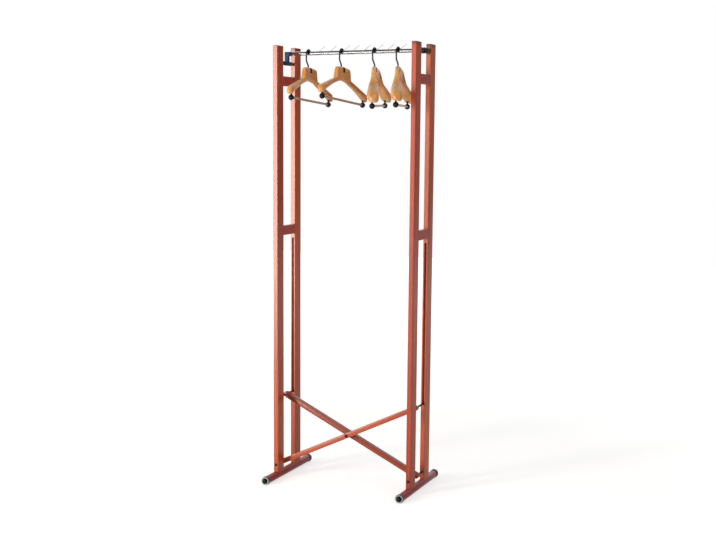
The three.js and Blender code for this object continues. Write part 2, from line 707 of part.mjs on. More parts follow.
function hangerBody(kind) {
  const neck = rodZ(HOOK_WIRE / 2 + CLEARANCE, -HOOK_EMBED - BLIND_END_GAP, OVERRUN);
  const stemHoles = [-BALL_Y, BALL_Y].map((y) => {
    const { bottom } = bodySection(kind, y);
    const top = bottom + BALL_STEM_EMBED + BLIND_END_GAP;
    return rodZ(BALL_STEM_DIAMETER / 2 + CLEARANCE, bottom - OVERRUN, top, barForward(kind), y);
  });
  return cut(bodyLoft(kind), neck, ...stemHoles);
}

function barHeight(kind) {
  return bodySection(kind, BALL_Y).bottom - BALL_GAP - BALL_DIAMETER / 2;
}

function barForward(kind) {
  return bodySection(kind, BALL_Y).forward - kind.ballBack;
}

function trouserBar(kind) {
  const reach = BALL_Y - BALL_DIAMETER / 2 + BALL_SOCKET;
  return rodY(BAR_DIAMETER / 2, -reach, reach, barForward(kind), barHeight(kind));
}

function barBall(kind, side) {
  const radius = BALL_DIAMETER / 2;
  const y = side * BALL_Y;
  const z = barHeight(kind);
  const forward = barForward(kind);
  const { bottom } = bodySection(kind, y);
  const ball = new THREE.SphereGeometry(radius, PIN_SIDES, PIN_SIDES / 2).rotateX(Math.PI / 2);
  const stem = rodZ(BALL_STEM_DIAMETER / 2, z, bottom + BALL_STEM_EMBED, forward, y);
  const ends = [y - side * (radius - BALL_SOCKET - BLIND_END_GAP), y - side * (radius + OVERRUN)];
  const socket = rodY(BAR_DIAMETER / 2 + CLEARANCE, Math.min(...ends), Math.max(...ends), forward, z);
  return cut(join(ball.translate(forward, y, z), stem), socket);
}

// Assembly
function addFrame(rack, name, x, extraCutters) {
  const frame = new THREE.Group();
  frame.position.x = x;
  frame.add(
    named(`${name}_front_post`, cut(post(-1), ...postCutters(-1), ...extraCutters), stainedWood),
    named(`${name}_back_post`, cut(post(1), ...postCutters(1), ...extraCutters), stainedWood),
    named(`${name}_upper_rail`, crossRail(UPPER_RAIL_Z), railWood),
    named(`${name}_mid_rail`, crossRail(MID_RAIL_Z), railWood),
    named(`${name}_foot`, foot(), footWood),
    named(`${name}_front_foot_cup`, footCup(-1), slatePlastic),
    named(`${name}_back_foot_cup`, footCup(1), slatePlastic),
    named(`${name}_front_cap_button`, capButton(-1), blackPlastic),
    named(`${name}_back_cap_button`, capButton(1), blackPlastic),
    named(`${name}_front_foot_screw`, footScrew(-1), darkSteel),
    named(`${name}_back_foot_screw`, footScrew(1), darkSteel),
    named(`${name}_brace_bolt`, braceBolt(), darkSteel),
  );
  rack.add(frame);
  return frame;
}

function addBrace(rack) {
  const crossZ = (BRACE_LOW_Z + BRACE_HIGH_Z) / 2;
  const armB = named('arm_b', braceArm(ARM_B_FRONT, ARM_B_BACK), armWood);
  const armA = named('arm_a', braceArm(ARM_A_FRONT, ARM_A_BACK), armWood);
  armB.rotation.y = -ARM_SLOPE;
  armA.rotation.y = ARM_SLOPE;
  const pinB = named('upper_pin_b', upperPin(), darkSteel);
  const pinA = named('upper_pin_a', upperPin(), darkSteel);
  pinB.position.set(FRAME_SPACING / 2, 0, BRACE_RISE / 2);
  pinA.position.set(-FRAME_SPACING / 2, 0, BRACE_RISE / 2);
  const brace = new THREE.Group();
  brace.position.z = crossZ;
  brace.add(
    armB,
    armA,
    pinB,
    pinA,
    named('cross_bolt', crossBolt(), darkSteel),
    named('cross_nut', crossNut(), darkSteel),
    named('cross_washer', crossWasher(), darkSteel),
  );
  rack.add(brace);
}

function addRail(rack) {
  const rail = new THREE.Group();
  rail.position.x = -FRAME_SPACING / 2;
  rail.add(
    named('hanging_tube', hangingTube(), polishedSteel),
    named('rail_elbow', railElbow(), slatePlastic),
    named('tube_end_plug', tubeEndPlug(), blackPlastic),
  );
  rack.add(rail);
}

function addHanger(rack, number, { kind, placeShare, swivel, tilt }) {
  const name = `hanger_${number}`;
  const stand = new THREE.Group();
  stand.position.set(FRAME_SPACING * (placeShare - 1 / 2), 0, TUBE_Z);
  const lean = new THREE.Group();
  lean.position.z = HOOK_TOP - HOOK_LOOP_RADIUS;
  lean.rotation.x = -THREE.MathUtils.degToRad(tilt);
  const turn = new THREE.Group();
  turn.position.z = -HOOK_DROP;
  turn.rotation.z = THREE.MathUtils.degToRad(swivel);
  turn.add(
    named(`${name}_body`, hangerBody(kind), paleWood),
    named(`${name}_bar`, trouserBar(kind), barWood),
    named(`${name}_front_ball`, barBall(kind, -1), blackPlastic),
    named(`${name}_back_ball`, barBall(kind, 1), blackPlastic),
  );
  lean.add(named(`${name}_hook`, hook(), blackWire), turn);
  stand.add(named(`${name}_saddle`, saddle(), blackPlastic), lean);
  rack.add(stand);
}

const rack = new THREE.Group();
const axleHoleReach = POST_FACE_Y + AXLE_EMBED + BLIND_END_GAP;
const axleHole = rodY(AXLE_DIAMETER / 2 + CLEARANCE, -axleHoleReach, axleHoleReach, 0, AXLE_Z);
const tenonHoleReach = POST_FACE_Y + CRADLE_TENON + BLIND_END_GAP;
const tenonHole = rodY(CRADLE_TENON_DIAMETER / 2 + CLEARANCE, -tenonHoleReach, tenonHoleReach, 0, TUBE_Z);

const leftFrame = addFrame(rack, 'left', -FRAME_SPACING / 2, [axleHole]);
const axleReach = POST_FACE_Y + AXLE_EMBED;
leftFrame.add(named('rail_axle', rodY(AXLE_DIAMETER / 2, -axleReach, axleReach, 0, AXLE_Z), darkSteel));

const rightFrame = addFrame(rack, 'right', FRAME_SPACING / 2, [tenonHole]);
rightFrame.add(named('cradle_bar', cradleBar(), blackPlastic));

addBrace(rack);
addRail(rack);
HANGERS.forEach((hanger, index) => addHanger(rack, index + 1, hanger));

export default rack;
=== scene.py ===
import math

import bmesh
import bpy
from mathutils import Matrix, Vector


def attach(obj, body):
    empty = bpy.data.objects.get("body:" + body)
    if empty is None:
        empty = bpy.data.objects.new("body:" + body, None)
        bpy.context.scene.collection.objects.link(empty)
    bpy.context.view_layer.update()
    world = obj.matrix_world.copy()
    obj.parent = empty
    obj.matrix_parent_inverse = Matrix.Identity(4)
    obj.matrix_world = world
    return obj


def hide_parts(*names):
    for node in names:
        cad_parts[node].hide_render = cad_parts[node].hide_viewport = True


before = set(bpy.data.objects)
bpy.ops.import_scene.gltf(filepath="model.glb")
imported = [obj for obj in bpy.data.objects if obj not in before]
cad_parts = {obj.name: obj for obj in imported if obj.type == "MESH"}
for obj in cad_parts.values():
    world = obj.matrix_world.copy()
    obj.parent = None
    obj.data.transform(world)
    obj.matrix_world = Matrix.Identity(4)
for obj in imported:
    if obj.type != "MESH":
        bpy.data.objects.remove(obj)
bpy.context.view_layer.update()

# Sizes are in millimetres; X, Y and Z name the axes
MM = 0.001
X, Y, Z = range(3)

# End frames
FRAME_SPACING = 580
SIDES = {"left": -FRAME_SPACING / 2, "right": FRAME_SPACING / 2}
ENDS = {"front": -1, "back": 1}
POST_FACE_Y = 52
POST_OUTER_Y = 106
FOOT_RADIUS = 15.5
FOOT_END_Y = 200
FOOT_Z = 16.8
CUP_RADIUS = 17.3
CUP_CLEARANCE = 0.3
CUP_MOUTH_EDGE = (0.4, 0.5)
CUP_SLEEVE = 8
CUP_END = 4
RING_PROUD = 0.5
BUTTON_RADIUS = 12
BUTTON_HEIGHT = 10
BUTTON_FOOT = 0.2
BUTTON_SKIRT = 0.7
BOLT_END_Y = POST_FACE_Y + 34
BOLT_HEAD = dict(radius=6, height=3, socket=2.4, depth=1.2, rim=2.9)
AXLE_RADIUS = 5
AXLE_END_Y = 64

# Scissor brace
BRACE_LOW_Z = 60
BRACE_HIGH_Z = 340
ARM_WIDTH = 20
ARM_ROUNDING = 1.8
ARM_B_Y = (-50, -23)
ARM_A_Y = (-22, 5)
ARM_END_STEPS = 16
PIN_RADIUS = 4
PIN_END_Y = 62
CROSS_HEAD = dict(radius=7, height=4, socket=3, depth=1.6, rim=3.8)
CROSS_BOLT_END_Y = 11
NUT_Y = (5, 10)
NUT_RADIUS = 7
NUT_EDGE = 0.6
WASHER_Y = (-22.95, -22.05)
WASHER_RADIUS = 9

# Hanging tube and its cradle
TUBE_Z = 1722.5
TUBE_RADIUS = 8
TUBE_BORE = 6.5
TUBE_X = (-268, 298)
PLUG_DEPTH = 12
PLUG_RADIUS = 6.2
PLUG_LIP = 2
AXLE_Z = 1685
ELBOW_HALF = 8
ELBOW_REACH = 22
ELBOW_EDGE = 1.8
HUB_RADIUS = 8
HUB_REACH = 36
HUB_EDGE = 1.2
CRADLE_RADIUS = 9.5
CRADLE_EDGE = 0.3
CRADLE_BLOCK = 12
CRADLE_BLOCK_X = 10
CRADLE_FLOOR = 3
CRADLE_SLOT = 9
CRADLE_SLOT_X = 15
CRADLE_GAP = 0.5
DIVIDERS_X = [-146.7, -98.1, -39.4, -1, 47.6, 99.3, 144.8, 197.1]
DIVIDER_PATH = ((0, -1.2), (1, 1.4), (23, 17.2))
DIVIDER_BEND = 2
DIVIDER_BEND_STEPS = 4
DIVIDER_RADIUS = 1.1

# Saddle and hook of a hanger; angles are in degrees
SADDLE_HALF = 8
SADDLE_INNER = 8.3
SADDLE_OUTER = 10.8
SADDLE_EDGE = 0.7
SADDLE_ANGLE = 120
SADDLE_STEPS = 48
HOOK_TOP = 14.1
HOOK_LOOP = 20
HOOK_OPENING = 10
HOOK_STEPS = 32
HOOK_STRAIGHT = 24
HOOK_CROSSED = 44
HOOK_END = 72
HOOK_BEND = 9
HOOK_BEND_STEPS = 8
HOOK_WIRE = 3
HOOK_DROP = 50

# Wooden body, bar and balls of a hanger
HANGER_HALF = 207
BLOCK_HALF = 53
BLOCK_HEIGHT = 54
BLOCK_THICKNESS = 20
NECK_THICKNESS = 18
TOP_CURVE = 0.95
BOTTOM_CURVE = 1.55
FORWARD_CURVE = 1.1
SECTION_CURVE = 0.6
SECTION_SIDES = 40
BLOCK_SHARES = (0, 0.15, 0.3, 0.45, 0.6, 0.75, 0.88, 0.96)
FLANK_STEPS = 12
ARM_STEPS = 16
TIP_STEPS = 9
TIP_CUT = 0.1
NOTCH_DEPTH = 6
NOTCH_HALF = 8
NOTCH_HEIGHT = 22
NOTCH_OVERRUN = 9
# Material slot of the painted shade on the notch's faces
NOTCH_SHADE_INDEX = 1
BAR_RADIUS = 4.75
BAR_HALF = 180
BALL_Y = 182
BALL_GAP = 7.6
BALL_RADIUS = 11
BALL_NECK = 3.5
BALL_STEM_EMBED = 11
BALL_STEPS = 20

# The two kinds of body; root, top and bottom are drops below the block's top
SLIM = dict(
    flank=9, crown=4, root=43, top=91, bottom=125, thickness=27, thickness_curve=1,
    rounding=16, lean=0, block=3, forward=13.5, ball_back=0,
)
WIDE = dict(
    flank=45, crown=10, root=46, top=105, bottom=150, thickness=49, thickness_curve=0.6,
    rounding=28, lean=5, block=-3, forward=22, ball_back=3,
)
# Number, kind, share of the way from the left frame, swivel and tilt in degrees
HANGERS = [
    (1, SLIM, 0.1643, 1.5, 2.8),
    (2, SLIM, 0.4122, -2, 4),
    (3, WIDE, 0.6514, 14.3, -1.8),
    (4, WIDE, 0.82, 14.1, -0.3),
]

# Mesh fineness
CAP_RADIUS = 0.01
WIRE_CAP_RADIUS = 0.02
ROD_SIDES = 64
ROUND_SIDES = 48
BOLT_SIDES = 40
BALL_SIDES = 36
BAR_SIDES = 32
HOOK_SIDES = 20
DIVIDER_SIDES = 12
NUT_SIDES = 6
EDGE_ANGLES = (0, math.pi / 6, math.pi / 3, math.pi / 2)
WIRE_END_ANGLES = (math.pi / 6, math.pi / 3, math.pi / 2.05)
DOME_STEPS = 10
BEVEL_SEGMENTS = 3
SHARP_ANGLE = 32
YOKE_SHARP_ANGLE = 40
# Points nearer than this are welded, in metres
WELD = 1e-6
BOOLEAN_WELD = 2e-5

# Woods: light, middle and dark, as sRGB
TONES = {
    "stained": ((220, 110, 62), (204, 90, 48), (160, 62, 32)),
    # A darker copy of the stained wood for the right front post: partly painted shade for the sheen it
    # lacks, partly its own darker tone
    "deep": ((216, 96, 48), (200, 76, 36), (156, 52, 26)),
    "rail": ((214, 88, 56), (196, 70, 42), (150, 46, 28)),
    "foot": ((196, 84, 70), (176, 66, 56), (132, 44, 40)),
    "arm": ((206, 104, 70), (188, 86, 56), (148, 58, 38)),
    "pale": ((255, 214, 150), (246, 184, 114), (212, 132, 70)),
    "bar": ((226, 190, 154), (210, 170, 134), (172, 128, 96)),
    "pink_bar": ((214, 182, 166), (198, 164, 150), (160, 124, 110)),
    # The notch tones are painted shade, which darkens the recess in the hangers' blocks
    "notch": ((88, 48, 28), (70, 36, 22), (48, 24, 14)),
}
# A darker band just below the posts' tops, weaker on the left front post: its tone, the heights in metres
# and how dark it is
TOP_BAND_TONE = (96, 44, 36)
TOP_BAND_Z = (1.734, 1.743)
TOP_BAND_SHARE = 0.7
TOP_BAND_SHARE_LEFT_FRONT = 0.2
# End grain: how far a face looks along the grain, and how dark it gets
END_FACING = (0.8, 0.98)
END_SHARE = 0.6
# Textures: scales per metre, and the stretch along the grain or the drawing marks
BROAD_SCALE = 22
FIBRE_SCALE = 260
RING_SCALE = 26
MOULD_SCALE = 1400
CLOUD_SCALE = 60
MARK_SCALE = 900
STAIN_SCALE = 40
SPECKLE_SCALE = 30
GRAIN_ALONG = 0.045
PALE_GRAIN = 1.3
STEEL_ALONG = 0.02
WOOD_GLOSS = (0.24, 0.34)


# Node materials
def srgb(red, green, blue):
    def linear(value):
        share = value / 255
        return share / 12.92 if share <= 0.04045 else ((share + 0.055) / 1.055) ** 2.4
    return (linear(red), linear(green), linear(blue), 1)


class Nodes:
    """Short calls for the nodes of one tree."""

    def __init__(self, tree):
        self.tree = tree

    def feed(self, socket, value):
        """Links a node's output to the socket, or sets a plain value on it."""
        if isinstance(value, bpy.types.NodeSocket):
            self.tree.links.new(value, socket)
        else:
            socket.default_value = value

    def add(self, kind, inputs=None, **settings):
        node = self.tree.nodes.new(kind)
        for key, value in settings.items():
            setattr(node, key, value)
        for key, value in (inputs or {}).items():
            self.feed(node.inputs[key], value)
        return node

    def ranged(self, value, start, end, low=0, high=1):
        """low at start, high at end, and straight between them."""
        ends = {"From Min": start, "From Max": end, "To Min": low, "To Max": high}
        return self.add("ShaderNodeMapRange", {"Value": value, **ends}).outputs["Result"]

    def maths(self, operation, *values):
        return self.add("ShaderNodeMath", dict(enumerate(values)), operation=operation).outputs["Value"]

    def switched(self, share, seen, otherwise):
        """Goes from the number otherwise to the number seen as share goes from 0 to 1."""
        return self.add("ShaderNodeMix", {"Factor": share, "A": otherwise, "B": seen}).outputs["Result"]

    def along(self, output, axis):
        """One part of a texture coordinate."""
        source = self.add("ShaderNodeTexCoord").outputs[output]
        return self.add("ShaderNodeSeparateXYZ", {"Vector": source}).outputs["XYZ"[axis]]


class Shader(Nodes):
    """A material with short calls for its textures."""

    COLOR_FACTOR, COLOR_A, COLOR_B, COLOR_RESULT = 0, 6, 7, 2

    def __init__(self, name):
        self.material = bpy.data.materials.new(name)
        self.material.use_nodes = True
        super().__init__(self.material.node_tree)
        self.surface = self.tree.nodes["Principled BSDF"]

    def coordinates(self, scale=(1, 1, 1), place=(0, 0, 0)):
        source = self.add("ShaderNodeTexCoord").outputs["Object"]
        inputs = {"Scale": scale, "Location": place, "Vector": source}
        return self.add("ShaderNodeMapping", inputs).outputs["Vector"]

    def noise(self, vector, scale, detail=3, roughness=0.55, distortion=0):
        inputs = {"Scale": scale, "Detail": detail, "Roughness": roughness, "Distortion": distortion}
        return self.add("ShaderNodeTexNoise", {"Vector": vector, **inputs}).outputs["Fac"]

    def ramp(self, factor, stops):
        node = self.add("ShaderNodeValToRGB", {"Fac": factor})
        elements = node.color_ramp.elements
        while len(elements) < len(stops):
            elements.new(0.5)
        for element, (place, color) in zip(elements, stops):
            element.position = place
            element.color = color
        return node.outputs["Color"]

    def mix(self, factor, first, second):
        inputs = {self.COLOR_FACTOR: factor, self.COLOR_A: first, self.COLOR_B: second}
        return self.add("ShaderNodeMix", inputs, data_type="RGBA").outputs[self.COLOR_RESULT]

    def spread(self, factor, low, high):
        return self.ranged(factor, 0, 1, low, high)

    def end_grain(self, axis):
        """How far a face looks along the grain, where the wood drinks more stain."""
        facing = self.maths("ABSOLUTE", self.along("Normal", axis))
        return self.ranged(facing, *END_FACING, 0, END_SHARE)

    def upper_end(self, most):
        """Rises to most over the last millimetres below a post's top."""
        return self.ranged(self.along("Object", Z), *TOP_BAND_Z, 0, most)

    def bump(self, height, distance, strength):
        node = self.add("ShaderNodeBump", {"Distance": distance, "Strength": strength, "Height": height})
        self.feed(self.surface.inputs["Normal"], node.outputs["Normal"])

    def paint(self, color, roughness, **constants):
        self.feed(self.surface.inputs["Base Color"], color)
        self.feed(self.surface.inputs["Roughness"], roughness)
        for key, value in constants.items():
            self.surface.inputs[key.replace("_", " ")].default_value = value
        return self.material


def wood(name, tone, axis, place, grain=1.0, top_band=0):
    """Straight-grained wood; the grain runs along the axis in the piece's own coordinates.

    top_band is how far the last millimetres below a post's top are darkened.
    """
    shader = Shader(name)
    light, middle, dark = (srgb(*color) for color in TONES[tone])
    scale = [grain] * 3
    scale[axis] = GRAIN_ALONG * grain
    vector = shader.coordinates(scale, place)
    broad = shader.noise(vector, BROAD_SCALE, detail=2, distortion=0.4)
    fibre = shader.noise(vector, FIBRE_SCALE, detail=4, roughness=0.65)
    waves = {"Scale": RING_SCALE, "Distortion": 5, "Detail": 2, "Detail Scale": 1.4, "Vector": vector}
    rings = shader.add(
        "ShaderNodeTexWave", waves, wave_type="RINGS", rings_direction="XYZ"[axis], wave_profile="SIN"
    )
    ground = shader.ramp(broad, [(0.28, dark), (0.5, middle), (0.74, light)])
    ringed = shader.mix(shader.spread(rings.outputs["Fac"], 0, 0.22), ground, dark)
    tinted = shader.mix(shader.spread(fibre, 0, 0.3), ringed, dark)
    aged = shader.mix(shader.end_grain(axis), tinted, dark)
    if top_band:
        aged = shader.mix(shader.upper_end(top_band), aged, srgb(*TOP_BAND_TONE))
    shader.bump(fibre, distance=0.00025, strength=0.2)
    return shader.paint(aged, shader.spread(fibre, *WOOD_GLOSS), Specular_IOR_Level=0.5)


def moulded(name, color, worn, gloss):
    """Moulded plastic with a fine matt grain."""
    shader = Shader(name)
    vector = shader.coordinates()
    grain = shader.noise(vector, MOULD_SCALE, detail=2)
    cloud = shader.noise(vector, CLOUD_SCALE)
    shader.bump(grain, distance=0.0001, strength=0.35)
    tint = shader.ramp(cloud, [(0.3, srgb(*color)), (0.75, srgb(*worn))])
    return shader.paint(tint, shader.spread(grain, *gloss), Specular_IOR_Level=0.22)


def steel(name, color, shade, axis, gloss, metallic=1.0):
    """Bright or blackened steel with drawing marks along one axis."""
    shader = Shader(name)
    scale = [1.0] * 3
    scale[axis] = STEEL_ALONG
    marks = shader.noise(shader.coordinates(scale), MARK_SCALE)
    stain = shader.noise(shader.coordinates(), STAIN_SCALE, detail=2)
    shader.bump(marks, distance=0.00005, strength=0.05)
    tint = shader.ramp(stain, [(0.25, srgb(*shade)), (0.7, srgb(*color))])
    return shader.paint(tint, shader.spread(marks, *gloss), Metallic=metallic)


black_plastic = moulded("black_plastic_fine", (14, 16, 17), (24, 26, 28), (0.38, 0.52))
slate_plastic = moulded("slate_plastic_fine", (42, 62, 90), (54, 76, 106), (0.5, 0.62))
cup_plastic = moulded("cup_plastic_fine", (96, 102, 108), (112, 118, 124), (0.5, 0.62))
tube_steel = steel("tube_steel_fine", (226, 229, 232), (210, 214, 218), X, (0.05, 0.09))
trim_steel = steel("trim_steel_fine", (198, 200, 203), (176, 178, 182), Y, (0.25, 0.4))
dark_steel = steel("dark_steel_fine", (74, 62, 60), (50, 42, 42), Y, (0.3, 0.45))
wire_steel = steel("wire_steel_fine", (24, 26, 28), (14, 16, 18), Z, (0.36, 0.5), 0.1)
divider_steel = steel("divider_steel_fine", (206, 208, 210), (190, 192, 194), X, (0.3, 0.4), 0.25)
# Painted shade for the faces of the notch in the hangers' blocks
notch_shade_paint = wood("notch_shade_paint_fine", "notch", Z, (0, 0.3, 0))


# Mesh builders, in millimetres
def edit(mesh, change):
    """Runs change on the mesh's bmesh and writes it back."""
    whole = bmesh.new()
    whole.from_mesh(mesh)
    change(whole)
    whole.to_mesh(mesh)
    whole.free()


def cleaned(distance):
    """A change that welds points within the distance, in metres, and turns the faces outwards."""
    def change(whole):
        bmesh.ops.remove_doubles(whole, verts=whole.verts, dist=distance)
        bmesh.ops.recalc_face_normals(whole, faces=whole.faces)
    return change


def set_material(node, material):
    node.data.materials.clear()
    node.data.materials.append(material)


def finish_piece(obj, material, body, nodes=(), sharp=SHARP_ANGLE):
    set_material(obj, material)
    edit(obj.data, cleaned(WELD))
    obj.data.shade_smooth()
    obj.data.set_sharp_from_angle(angle=math.radians(sharp))
    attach(obj, body)
    if nodes:
        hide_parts(*nodes)


def mesh_object(name, vertices, faces, matrix=None):
    mesh = bpy.data.meshes.new(name)
    mesh.from_pydata([tuple(value * MM for value in vertex) for vertex in vertices], [], faces)
    obj = bpy.data.objects.new(name, mesh)
    bpy.context.scene.collection.objects.link(obj)
    if matrix is not None:
        obj.matrix_world = matrix
    return obj


def at(x, y, z):
    return Matrix.Translation((x * MM, y * MM, z * MM))


def skin(rings):
    """Faces between equal closed rings of points, and caps on the first and last."""
    count = len(rings[0])
    vertices = [point for ring in rings for point in ring]
    faces = []
    for row in range(len(rings) - 1):
        for side in range(count):
            after = (side + 1) % count
            low, high = row * count, (row + 1) * count
            faces.append((low + side, low + after, high + after, high + side))
    faces.append(tuple(range(count - 1, -1, -1)))
    faces.append(tuple(range((len(rings) - 1) * count, len(rings) * count)))
    return vertices, faces


def turned(name, profile, axis, sides, matrix):
    """A turned piece: profile pairs are radius and height along the axis."""
    rings = []
    for radius, height in profile:
        ring = []
        for side in range(sides):
            angle = 2 * math.pi * side / sides
            point = [0.0, 0.0, 0.0]
            point[axis] = height
            point[(axis + 1) % 3] = radius * math.cos(angle)
            point[(axis + 2) % 3] = radius * math.sin(angle)
            ring.append(tuple(point))
        rings.append(ring)
    return mesh_object(name, *skin(rings), matrix)


def mirrored_profile(profile, sign):
    return [(radius, sign * height) for radius, height in profile]


def dome(radius, height, start, direction):
    """Profile of a dome from its rim at start to its top."""
    pairs = []
    for step in range(DOME_STEPS + 1):
        angle = math.pi / 2 * step / DOME_STEPS
        rise = start + direction * height * math.sin(angle)
        pairs.append((max(radius * math.cos(angle), CAP_RADIUS), rise))
    return pairs


def socket_head(seat, radius, height, socket, depth, rim):
    """Profile of a domed bolt head with a round socket, on a seat that faces the front."""
    head = [(CAP_RADIUS, seat - depth), (socket, seat - depth), (socket + 0.2, seat - rim)]
    return head + [(r, h) for r, h in reversed(dome(radius, height, seat, -1)) if r > socket + 0.3]


def rounded_rod(radius, half, edge=0.8):
    """Profile of a rod from -half to half with its rims rounded."""
    start = [(CAP_RADIUS, -half)]
    start += [(radius - edge + edge * math.sin(a), -half + edge - edge * math.cos(a)) for a in EDGE_ANGLES]
    return start + [(r, -h) for r, h in reversed(start)]


def swept(name, points, radius, sides, matrix=None):
    """A round wire along points, with its ends rounded."""
    places = [Vector(point) for point in points]
    last = len(places) - 1
    tangents = [(places[min(i + 1, last)] - places[max(i - 1, 0)]).normalized() for i in range(last + 1)]
    normal = tangents[0].orthogonal().normalized()
    stations = []
    for place, tangent in zip(places, tangents):
        normal = (normal - tangent * normal.dot(tangent)).normalized()
        stations.append((place, tangent, normal.copy(), tangent.cross(normal), radius))
    tips = []
    for end, sign in ((0, -1), (-1, 1)):
        place, tangent, first, second, _ = stations[end]
        tip = []
        for angle in WIRE_END_ANGLES:
            reach = place + tangent * sign * radius * math.sin(angle)
            tip.append((reach, tangent, first, second, max(radius * math.cos(angle), WIRE_CAP_RADIUS)))
        tips.append(tip)
    rings = []
    for place, _, first, second, size in list(reversed(tips[0])) + stations + tips[1]:
        ring = []
        for side in range(sides):
            angle = 2 * math.pi * side / sides
            ring.append(tuple(place + first * (size * math.cos(angle)) + second * (size * math.sin(angle))))
        rings.append(ring)
    return mesh_object(name, *skin(rings), matrix)


def rounded_path(corners, bend, steps):
    """A polyline with each inner corner rounded."""
    places = [Vector(corner) for corner in corners]
    points = [places[0]]
    for before, corner, after in zip(places, places[1:], places[2:]):
        back, on = (before - corner).normalized(), (after - corner).normalized()
        half = back.angle(on) / 2
        middle = corner + (back + on).normalized() * (bend / math.sin(half))
        start = corner + back * (bend / math.tan(half)) - middle
        end = corner + on * (bend / math.tan(half)) - middle
        turn = start.angle(end)
        for step in range(steps + 1):
            share = step / steps
            arc = start * math.sin((1 - share) * turn) + end * math.sin(share * turn)
            points.append(middle + arc / math.sin(turn))
    return points + [places[-1]]


def block(name, low, high):
    corners = [(x, y, z) for x in (low[X], high[X]) for y in (low[Y], high[Y]) for z in (low[Z], high[Z])]
    faces = [(0, 1, 3, 2), (4, 6, 7, 5), (0, 4, 5, 1), (2, 3, 7, 6), (0, 2, 6, 4), (1, 5, 7, 3)]
    return mesh_object(name, corners, faces)


def extruded(name, outline, half, edge):
    """An outline of X and Z pairs, from -half to half along Y, with every edge rounded."""
    def rounded(whole):
        bmesh.ops.bevel(
            whole, geom=whole.edges, offset=edge * MM, segments=BEVEL_SEGMENTS, profile=0.5, affect="EDGES"
        )
    obj = mesh_object(name, *skin([[(x, y, z) for x, z in outline] for y in (-half, half)]))
    edit(obj.data, rounded)
    return obj


def combine(obj, other, operation):
    """Applies a boolean of obj with other, and removes other."""
    for piece in (obj, other):
        edit(piece.data, cleaned(BOOLEAN_WELD))
    modifier = obj.modifiers.new(operation, "BOOLEAN")
    modifier.operation = operation
    modifier.object = other
    modifier.solver = "EXACT"
    bpy.context.view_layer.update()
    made = bpy.data.meshes.new_from_object(obj.evaluated_get(bpy.context.evaluated_depsgraph_get()))
    obj.modifiers.clear()
    obj.data = made
    bpy.data.objects.remove(other)


# End frames
def add_foot_end(side, end, sign, place):
    """Cup, bright ring and button on one end of a foot."""
    body, label = f"{side}_frame", f"{side}_{end}"
    mouth, seat = FOOT_END_Y - CUP_SLEEVE, FOOT_END_Y + CUP_END
    edge, edge_depth = CUP_MOUTH_EDGE
    sleeve = [
        (FOOT_RADIUS + CUP_CLEARANCE, mouth), (CUP_RADIUS - edge, mouth), (CUP_RADIUS, mouth + edge_depth),
        (CUP_RADIUS, seat - 1.6), (CUP_RADIUS - 0.5, seat - 0.5), (CUP_RADIUS - 1.5, seat),
        (CAP_RADIUS, seat),
    ]
    cup = turned(f"{label}_cup_turned", mirrored_profile(sleeve, sign), Y, ROD_SIDES, place)
    for vertex in cup.data.vertices:
        vertex.co.z = max(vertex.co.z, -FOOT_Z * MM)
    finish_piece(cup, cup_plastic, body, [f"{label}_foot_cup"])
    face = [
        (BUTTON_RADIUS - 1, seat), (BUTTON_RADIUS - 1, seat + RING_PROUD),
        (CUP_RADIUS - 1.9, seat + RING_PROUD), (CUP_RADIUS - 1.4, seat + 0.1), (CUP_RADIUS - 1.4, seat),
    ]
    ring = turned(f"{label}_cup_ring", mirrored_profile(face, sign), Y, ROD_SIDES, place)
    finish_piece(ring, trim_steel, body)
    skirt = seat + BUTTON_SKIRT
    knob = [(BUTTON_RADIUS - 0.6, seat + BUTTON_FOOT), (BUTTON_RADIUS, skirt)]
    knob += [(r, max(h, skirt)) for r, h in dome(BUTTON_RADIUS, BUTTON_HEIGHT, seat, 1)[1:]]
    button = turned(f"{label}_button_turned", mirrored_profile(knob, sign), Y, ROUND_SIDES, place)
    finish_piece(button, black_plastic, body, [f"{label}_cap_button"])


for row, (side, x) in enumerate(SIDES.items()):
    body = f"{side}_frame"
    for column, end in enumerate(ENDS):
        # The right front post's darker wood is partly painted shade for the sheen it lacks, partly its own
        # darker tone
        tone = "deep" if (side, end) == ("right", "front") else "stained"
        top_band = TOP_BAND_SHARE_LEFT_FRONT if (side, end) == ("left", "front") else TOP_BAND_SHARE
        place = (0.31 * row + 0.7, 0.53 * column, 0.2)
        board = wood(f"{side}_{end}_post_wood", tone, Z, place, top_band=top_band)
        set_material(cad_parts[f"{side}_{end}_post"], board)
    for column, level in enumerate(("upper", "mid")):
        board = wood(f"{side}_{level}_rail_wood", "rail", Y, (0.4 * row, 0.1, 0.6 * column))
        set_material(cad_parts[f"{side}_{level}_rail"], board)
    foot = at(x, 0, FOOT_Z)
    dowel = turned(f"{side}_foot_turned", rounded_rod(FOOT_RADIUS, FOOT_END_Y), Y, ROD_SIDES, foot)
    foot_wood = wood(f"{side}_foot_wood", "foot", Y, (0.2 * row, 0.4, 0.9))
    finish_piece(dowel, foot_wood, body, [f"{side}_foot"])
    for end, sign in ENDS.items():
        add_foot_end(side, end, sign, foot)
    profile = socket_head(-POST_OUTER_Y, **BOLT_HEAD)
    profile += [(PIN_RADIUS, -POST_OUTER_Y), (PIN_RADIUS, BOLT_END_Y), (CAP_RADIUS, BOLT_END_Y)]
    bolt = turned(f"{side}_bolt_turned", profile, Y, BOLT_SIDES, at(x, 0, BRACE_LOW_Z))
    finish_piece(bolt, dark_steel, body, [f"{side}_brace_bolt"])
    for end in ENDS:
        set_material(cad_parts[f"{side}_{end}_foot_screw"], dark_steel)

left, right = SIDES["left"], SIDES["right"]
axle = turned("axle_turned", rounded_rod(AXLE_RADIUS, AXLE_END_Y), Y, BOLT_SIDES, at(left, 0, AXLE_Z))
finish_piece(axle, dark_steel, "left_frame", ["rail_axle"])

